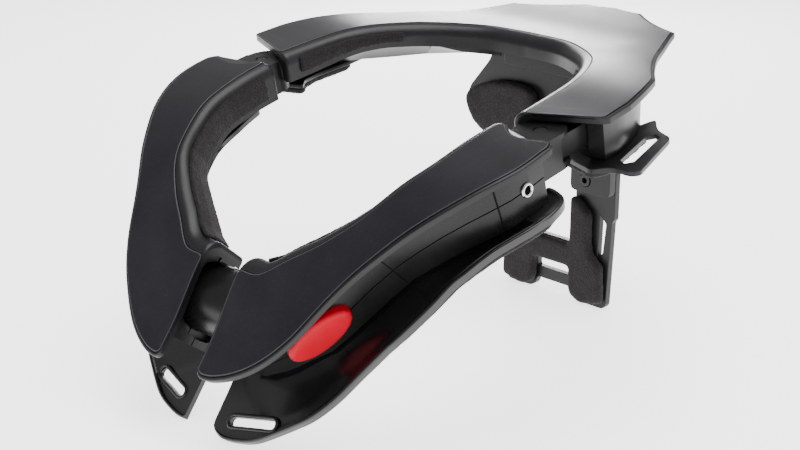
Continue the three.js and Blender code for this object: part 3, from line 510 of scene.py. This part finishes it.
def sectionLoft(name, place, rows, stations, mirror=False):
    # A closed section (side, inset, height) carried along the stations, closed by a face at each end. Each
    # point keeps its distances from the outer edge, the inner edge and the nearer end
    grids = [place(stations, side, inset) + (height + 0 * stations,) for side, inset, height in rows]
    points = np.stack([bend(x, s, h) for x, s, h in grids], axis=1)
    if mirror:
        points = points * np.array([-1, 1, 1])
    rings, count = points.shape[:2]
    piece = meshPiece(name, points, ringQuads(rings, count) + endFaces(rings, count))

    def distances(edgeSide):
        edge = np.stack(place(stations, edgeSide, 0), -1)
        return [np.linalg.norm(np.stack(place(stations, side, inset), -1) - edge, axis=-1)
                for side, inset, height in rows]
    fromEnd = [np.minimum(stations, 1 - stations) * endReach for row in rows]
    edges = np.stack([np.broadcast_to(np.stack(values, axis=1), (rings, count))
                      for values in (distances(0), distances(1), fromEnd)], axis=-1)
    layer = piece.data.attributes.new("edges", "FLOAT_VECTOR", "POINT")
    layer.data.foreach_set("vector", edges.astype(np.float32).ravel())
    return piece


def arcRows(radius, level, depth, foot):
    # Quarter circle that rolls over from the top into a wall
    turn = np.radians(np.linspace(12, 90, 8))
    return [(1, radius * np.sin(a), level - radius * (1 - np.cos(a))) for a in turn] + [(1, foot, -depth)]


def acrossRows(height, start, end, count=5):
    # Points of a section straight across, at one height, while the inset goes from start to end
    return [(side, start + (end - start) * side, height) for side in np.linspace(0, 1, count + 2)[1:-1]]


table = {"thickness": 1.0, "sink": 0.3, "rim": 1.7, "ease": 0.3, "shell": 3.5, "wall": 2.6,
         "wallShare": 0.93,  # place of the neck wall's foot, as a share of the roll's radius
         "inside": 0.6}  # depth of the shell's inner face, as a share of the wall's
gap = fold["gap"]


def panelRows():
    # Section of a thin sheet that lies inside the shell's rim with a gap, its upper edges eased
    start, below, ease = table["rim"] + gap, -table["thickness"], table["ease"]
    return ([(0, start, below), (0, start, -0.25), (0, start + ease, 0)] + acrossRows(0, start, -gap, 7)
            + [(1, -gap - ease, 0), (1, -gap, -0.25), (1, -gap, below)]
            + acrossRows(below, start, -gap, 7)[::-1])


def shellRows(roll, depth):
    # Section of the shell: a rim and a seat for the table, a roll over the neck side, and a wall under it
    seat, sink, under, rim = -table["thickness"] - gap, -table["sink"], -table["shell"], table["rim"]
    inner = roll - table["wall"]
    foot = roll * table["wallShare"]
    outside = [(0, 0, under), (0, 0, -table["thickness"]), (0, 0.25, -0.6), (0, 0.75, -0.35),
               (0, rim - 0.2, sink), (0, rim, -0.5), (0, rim, seat)]
    over = [(1, 0, seat), (1, 0, -0.5), (1, 0.25, sink)] + arcRows(roll, sink, depth, foot)
    back = [(1, foot - table["wall"], -depth)]
    back += arcRows(inner, under, depth * table["inside"], inner)[::-1]
    return (outside + acrossRows(seat, rim, 0) + over + back + [(1, 0, under)]
            + acrossRows(under, 0, 0)[::-1])


wingSize = {
    "outer": [(0.114, 0.002), (0.2, 0.006), (0.335, 0.03), (0.482, 0.083), (0.645, 0.19), (0.784, 0.266),
              (0.906, 0.337), (0.971, 0.399), (0.974, 0.462)],
    "inner": [(0.106, 0.149), (0.212, 0.152), (0.318, 0.182), (0.433, 0.217), (0.539, 0.262), (0.604, 0.317),
              (0.645, 0.362), (0.661, 0.42), (0.669, 0.481)],
    "notch": 5.5, "notchLean": 1.3, "notchStart": 0.85,
    "roll": 6.5, "frontRoll": 9.0, "wall": 20.0, "frontWall": 1.2, "corner": 4.0, "length": 190.0,
}
endsDense = np.sin(np.linspace(-np.pi / 2, np.pi / 2, 97)) * 0.5 + 0.5


def wingPlace(corner):
    # Between the wing's two edges, with the hinge end notched by a leaning sine wave
    def endShift(v, side):
        wave = np.sin(np.pi * np.clip(side, 0, 1)**wingSize["notchLean"])
        start = wingSize["notchStart"]
        return -wingSize["notch"] * wave * smooth((v - start) / (1 - start))
    outer, inner = flatEdge(wingSize["outer"]), flatEdge(wingSize["inner"])
    return edgePair(outer, inner, endShift, corner, wingSize["length"])


def buildWing(side):
    # The roll and the wall under it grow towards the front tip by a smooth step
    mirror = side == "right"
    front = 1 - smooth(endsDense / 0.5)
    roll = wingSize["roll"] + (wingSize["frontRoll"] - wingSize["roll"]) * front
    depth = wingSize["wall"] * (1 + (wingSize["frontWall"] - 1) * front)
    place = wingPlace(wingSize["corner"])
    panel = sectionLoft(f"{side}_wing_table", place, panelRows(), endsDense, mirror)
    shell = sectionLoft(f"{side}_wing_moulding", place, shellRows(roll, depth), endsDense, mirror)
    return {f"{side}_wing_panel": panel, f"{side}_wing_shell": shell}


collarSize = {
    "outer": [(0.992, 0.554, 0, 0), (0.98, 0.604, -1.2, 0.17), (0.873, 0.704, 3.5, 0.42),
              (0.457, 0.938, 2.2, 0.8), (0.155, 0.994, 0.8, 0.93), (0, 1, 0, 1)],
    "inner": [(0.69, 0.515), (0.672, 0.58), (0.653, 0.625), (0.62, 0.66), (0.56, 0.7), (0.47, 0.742),
              (0.34, 0.775), (0.2, 0.797), (0, 0.803)],
    "wall": 12.0, "armWall": 1.3, "armRun": 0.22, "roll": 6.5, "corner": 4.0, "length": 460.0,
}


def buildCollar():
    # Both halves from the right arm's edges, with stations at the outline's corners, and deeper arm walls
    outer, inner = corneredEdge(collarSize["outer"]), flatEdge(collarSize["inner"])

    def onHalf(at):
        def place(v):
            point = at(np.where(v <= 0.5, v * 2, (1 - v) * 2))
            point[..., 0] = np.where(v > 0.5, -point[..., 0], point[..., 0])
            return point
        return place
    half = np.unique(np.r_[(1 - np.cos(np.linspace(0, np.pi / 2, 10))) * 0.03, np.linspace(0.03, 0.5, 60),
                           np.array([row[3] for row in collarSize["outer"]]) / 2])
    stations = np.r_[half, 1 - half[half < 0.5][::-1]]
    place = edgePair(onHalf(outer), onHalf(inner), None, collarSize["corner"], collarSize["length"])
    arm = 1 - smooth(np.minimum(stations, 1 - stations) / collarSize["armRun"])
    depth = collarSize["wall"] * (1 + (collarSize["armWall"] - 1) * arm)
    panel = sectionLoft("rear_collar_table", place, panelRows(), stations)
    shell = sectionLoft("rear_collar_moulding", place, shellRows(collarSize["roll"], depth), stations)
    return {"rear_collar_panel": panel, "rear_collar_shell": shell}


chestSize = {
    "outer": [(0.073, -0.052), (0.131, -0.057), (0.229, -0.051), (0.302, -0.041), (0.408, -0.013),
              (0.506, 0.02), (0.661, 0.093), (0.767, 0.171), (0.833, 0.23), (0.914, 0.322), (0.971, 0.405),
              (0.976, 0.441), (0.939, 0.478), (0.857, 0.494)],
    "inner": [(0.049, -0.042), (0.045, 0), (0.052, 0.051), (0.2, 0.107), (0.42, 0.169), (0.56, 0.225),
              (0.655, 0.295), (0.71, 0.36), (0.75, 0.427), (0.797, 0.486)],
    "top": 31.1, "thickness": 2.6, "rim": 1.4, "rimWidth": 2.8, "rimFade": 0.04, "corner": 2.0,
    "length": 215.0, "dish": 1.1, "dishStart": (0.135, 0.025), "dishEnd": (0.97, 0.04),
    "drawn": 1.0, "drawnEnd": (0.25, 0.12),  # at 1.3 the right plate's cut comes out empty
    "slotEnd": (0.345, -0.01), "slotTurn": 0.26, "slotWidth": 4.2, "lip": 0.7,
    "left": {"slot": 28.0, "nose": 0.0}, "right": {"slot": 22.0, "nose": 13.5},
}


def slotPoints(length, width, steps=10, grow=0.0):
    # Stadium outline from the outer end inward, drawn out past that end by so much
    turn = np.linspace(-np.pi / 2, np.pi / 2, steps)
    cap = np.stack([np.cos(turn), np.sin(turn)], axis=1) * width / 2
    reach = (length - width) / 2
    ring = np.vstack([cap + [reach, 0], -cap - [reach, 0]]) - [length / 2 - grow, 0]
    c, s = math.cos(chestSize["slotTurn"]), math.sin(chestSize["slotTurn"])
    across, run = chestSize["slotEnd"]
    return ring @ np.array([[c, s], [-s, c]]) + [across * fold["width"] / 2, run * foldLength]


def bentRings(rings, mirror):
    # Rings of flat points, each at its own height, on the fold
    points = np.stack([bend(ring[:, 0], ring[:, 1], np.full(len(ring), height)) for ring, height in rings])
    return points * np.array([-1, 1, 1]) if mirror else points


def ringSolid(name, rings, mirror):
    # Closed body through rings of flat points, with a face at both ends
    points = bentRings(rings, mirror)
    levels, count = points.shape[:2]
    return meshPiece(name, points, ringQuads(levels, count) + endFaces(levels, count))


def loopSolid(name, rings, mirror):
    # Closed loop: each ring of flat points joins the next, and the last joins the first
    points = bentRings(rings, mirror)
    piece = meshPiece(name, points, ringQuads(*points.shape[:2], closed=True))
    smoothFaces(piece.data)
    return piece


seams = {"shares": (0.52, 0.83), "width": 0.55, "proud": 0.22, "sunk": 0.3, "top": 4.6, "foot": 29.0,
         "wall": [(0, 1.3), (0.14, 1.15), (0.3, 0.45), (0.5, 0.6), (1, 1)], "inset": 9.0}


def wallInset(v):
    # How far the outer wall stands inside the wing's edge: smooth steps between the places in seams["wall"]
    places = np.array([row[0] for row in seams["wall"]])
    shares = np.array([row[1] for row in seams["wall"]])
    piece = np.clip(np.searchsorted(places, v, side="left") - 1, 0, len(places) - 2)
    u = smooth((v - places[piece]) / (places[piece + 1] - places[piece]))
    return seams["inset"] * (shares[piece] + (shares[piece + 1] - shares[piece]) * u)


def buildWingSeams(side):
    # Narrow dark strips of painted shadow up the outer wall at two places along the wing, where the seams are
    place = wingPlace(0.0)
    for number, share in enumerate(seams["shares"]):
        half = seams["width"] / 2 / wingSize["length"]
        v = np.array([share - half, share + half, share + half, share - half])
        sunk = np.array([1, 1, 0, 0]) * (seams["proud"] + seams["sunk"]) - seams["proud"]
        x, s = place(v, 0.0, wallInset(v) + sunk)
        ring = np.stack([x, s], axis=1)
        rings = [(ring, level) for level in np.linspace(-seams["top"], -seams["foot"], 14)]
        seam = ringSolid(f"{side}_wing_seam_{number + 1}", rings, side == "right")
        seam.data.materials.append(paintedShadow)
        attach(seam, f"{side}_wing")


def pointsOf(mesh):
    # All of a mesh's points, a row for each
    points = np.empty(len(mesh.vertices) * 3, dtype=np.float32)
    mesh.vertices.foreach_get("co", points)
    return points.reshape(-1, 3)


def applyCuts(piece, cutters):
    # Cuts the piece, then gives each new point the edge distances of the nearest old one
    before = pointsOf(piece.data)
    stored = np.empty(len(before) * 3, dtype=np.float32)
    piece.data.attributes["edges"].data.foreach_get("vector", stored)
    for cutter in cutters:
        step = piece.modifiers.new("cut", "BOOLEAN")
        step.operation = "DIFFERENCE"
        step.solver = "EXACT"
        step.object = cutter
    graph = bpy.context.evaluated_depsgraph_get()
    mesh = bpy.data.meshes.new_from_object(piece.evaluated_get(graph))
    piece.modifiers.clear()
    piece.data = mesh
    after = pointsOf(mesh)
    spread = (after**2).sum(1)[:, None] + (before**2).sum(1)[None, :] - 2 * after @ before.T
    layer = mesh.attributes.get("edges") or mesh.attributes.new("edges", "FLOAT_VECTOR", "POINT")
    layer.data.foreach_set("vector", stored.reshape(-1, 3)[spread.argmin(axis=1)].ravel())
    for cutter in cutters:
        bpy.data.objects.remove(cutter)


def buildChestPlate(side):
    # The plate's face is a flat frame round a dish that sinks by a smooth step behind the slot
    own = chestSize[side]
    mirror = side == "right"
    stations = endsDense
    top = -chestSize["top"]
    base = top - chestSize["thickness"]
    (start, startRun), (end, endRun) = chestSize["dishStart"], chestSize["dishEnd"]
    dish = -chestSize["dish"] * smooth((stations - start) / startRun) * smooth((end - stations) / endRun)
    rim = top + chestSize["rim"] * smooth(stations / chestSize["rimFade"])
    face = [(share, chestSize["rimWidth"] * (1 - share),
             top + dish * smooth(share / 0.1) * smooth((1 - share) / 0.16))
            for share in np.linspace(0.02, 0.98, 15)]
    lift = rim - top
    drawnEnd, drawnRun = chestSize["drawnEnd"]
    drawn = chestSize["drawn"] * smooth((drawnEnd - stations) / drawnRun)
    edge = [(0, base), (0, rim - lift * 0.6), (0.25, rim - lift * 0.2), (0.8, rim), (1.5, rim),
            (1.9, rim - lift * 0.4), (chestSize["rimWidth"] * 0.8, top)]
    rows = ([(0, inset + drawn, height) for inset, height in edge] + face
            + [(1, 0, top - 0.2), (1, 0, base)] + acrossRows(base, 0, 0)[::-1])
    outer, inner = flatEdge(chestSize["outer"]), flatEdge(chestSize["inner"])
    place = edgePair(outer, inner, None, chestSize["corner"], chestSize["length"])
    piece = sectionLoft(f"{side}_chest_plate_moulding", place, rows, stations, mirror)
    slot = slotPoints(own["slot"], chestSize["slotWidth"])
    cutters = [ringSolid("slot tool", [(slot, top + 6), (slot, base - 6)], mirror)]
    if own["nose"]:
        far = 60.0
        strip = np.array([(-far, -far), (own["nose"], -far), (own["nose"], far), (-far, far)])
        cutters.append(ringSolid("nose tool", [(strip, top + 20), (strip, base - 20)], mirror))
    applyCuts(piece, cutters)
    crest = top + chestSize["lip"]
    grown = [(slotPoints(own["slot"] + 2 * grow, chestSize["slotWidth"] + 2 * grow, grow=grow), height)
             for grow, height in ((2.0, top - 0.15), (1.6, crest - 0.2), (1.2, crest), (0.6, crest),
                                  (0.25, crest - 0.3), (0.15, top - 0.15))]
    lip = loopSolid(f"{side}_chest_slot_lip", grown, mirror)
    lip.data.materials.append(finishes["chest_gloss"])
    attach(lip, f"{side}_wing")
    return {f"{side}_chest_plate": piece}


ringScrew = {"radius": 3.5, "bore": 2.1, "depth": 2.4, "proud": 0.75, "length": 5.0, "face": 0.3,
             "inside": 0.35, "outside": 0.5, "back": 0.6, "sides": 48, "normal": (0.9998, -0.01919, -0.00607)}


def buildRingScrew(side):
    # Ring head with a round hollow: a profile (radius, height) turned about the screw's own axis
    size = ringScrew
    low, high = (np.array(corner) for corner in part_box(f"{side}_wing_screw"))
    normal = np.array(size["normal"]) * ((-1, 1, 1) if side == "right" else (1, 1, 1))
    origin = (low + high) / 2 + normal * (size["length"] - size["back"]) / 2 / 1000
    bore, radius, face, proud = (size[key] for key in ("bore", "radius", "face", "proud"))
    floor, back = -size["depth"], -size["length"]
    profile = np.array([(0, floor), (bore, floor), (bore, face), (bore + size["inside"], proud),
                        (radius - size["outside"], proud), (radius, face), (radius, back), (0, back)])
    turn = np.linspace(0, 2 * np.pi, size["sides"] + 1)[:-1]
    upright = np.cross(normal, [0, 0, 1.0])
    upright /= np.linalg.norm(upright)
    sideways = np.cross(normal, upright)
    around = np.cos(turn)[:, None] * upright + np.sin(turn)[:, None] * sideways
    points = origin + (profile[:, 0, None, None] * around + profile[:, 1, None, None] * normal) / 1000
    piece = meshPiece(f"{side}_ring_screw", points, ringQuads(*points.shape[:2]), doubles=1e-6)
    mesh = piece.data
    standIn(piece, f"{side}_wing_screw", finishes["bright_steel"])
    # The faces inside the hollow take the painted shadow material, so the hole reads dark
    mesh.materials.append(paintedShadow)
    centres = np.empty(len(mesh.polygons) * 3, dtype=np.float32)
    mesh.polygons.foreach_get("center", centres)
    away = centres.reshape(-1, 3) - origin
    height = away @ normal
    reach = np.linalg.norm(away - height[:, None] * normal, axis=1)
    inside = (reach < bore * 0.98e-3) & (height > -size["length"] * 0.9e-3)
    mesh.polygons.foreach_set("material_index", inside.astype(np.int32))
    return {f"{side}_wing_screw": piece}


smoothPieces = {}
screwPieces = {}
for side in ("left", "right"):
    smoothPieces.update(buildWing(side))
    smoothPieces.update(buildChestPlate(side))
    buildWingSeams(side)
    screwPieces.update(buildRingScrew(side))
smoothPieces.update(buildCollar())
for node, piece in smoothPieces.items():
    smoothFaces(piece.data)
    roundEdges(piece, 0.00035, 40)
    standIn(piece, node, finishes[slotOf[node]])
print("smooth tables, mouldings and chest plates:", len(smoothPieces))

for node in nodes:
    if node in smoothPieces or node in screwPieces:
        continue
    if slotOf[node] in pads:
        paddedPiece(node)
    else:
        mouldedPiece(node)
print("pieces finished:", len(nodes))

# Floor, light and camera
stage = {
    "half": 6.0, "tone": (0.93, 0.93, 0.93, 1), "world": 0.62, "glow": 2.2, "aim": (0, 0, 0.08),
    "lamps": [("top softbox", (0.1, 0.1, 1.3), (1.1, 0.9), 22),  # name, place, size in metres and watts
              ("rear strip", (-0.62, 0.72, 0.33), (0.3, 0.12), 3.2),
              ("side strip", (1.2, 0.35, 0.45), (0.3, 0.9), 3.5)],
    "camera": {"place": (0.54325, -0.540964, 0.32928), "aim": (0.0033, -0.016264, 0.07118), "lens": 72},
}


def turnTo(holder, place, aim):
    # Puts the object in its place and turns it to face the aim
    holder.location = place
    holder.rotation_euler = (Vector(aim) - holder.location).to_track_quat("-Z", "Y").to_euler()
    bpy.context.scene.collection.objects.link(holder)


def buildFloor():
    half = stage["half"]
    mesh = bpy.data.meshes.new("floor")
    corners = [(-half, -half, 0), (half, -half, 0), (half, half, 0), (-half, half, 0)]
    mesh.from_pydata(corners, [], [(0, 1, 2, 3)])
    floor = bpy.data.objects.new("floor", mesh)
    bpy.context.scene.collection.objects.link(floor)
    material, _, shader = newMaterial("pale floor")
    shader.inputs["Base Color"].default_value = stage["tone"]
    shader.inputs["Emission Color"].default_value = (1, 1, 1, 1)
    shader.inputs["Emission Strength"].default_value = stage["glow"]
    shader.inputs["Roughness"].default_value = 0.9
    mesh.materials.append(material)


def addLamp(name, place, size, power):
    lamp = bpy.data.lights.new(name, "AREA")
    lamp.shape = "RECTANGLE"
    lamp.size, lamp.size_y = size
    lamp.energy = power
    turnTo(bpy.data.objects.new(name, lamp), place, stage["aim"])


def addCamera():
    lens = bpy.data.cameras.new("camera")
    lens.lens = stage["camera"]["lens"]
    lens.sensor_width = 36
    lens.clip_start = 0.01
    camera = bpy.data.objects.new("camera", lens)
    turnTo(camera, stage["camera"]["place"], stage["camera"]["aim"])
    bpy.context.scene.camera = camera


buildFloor()
world = bpy.context.scene.world or bpy.data.worlds.new("studio")
bpy.context.scene.world = world
world.use_nodes = True
background = world.node_tree.nodes["Background"]
background.inputs["Color"].default_value = (1, 1, 1, 1)
background.inputs["Strength"].default_value = stage["world"]
for lamp in stage["lamps"]:
    addLamp(*lamp)
addCamera()
print("stage, light and camera placed")
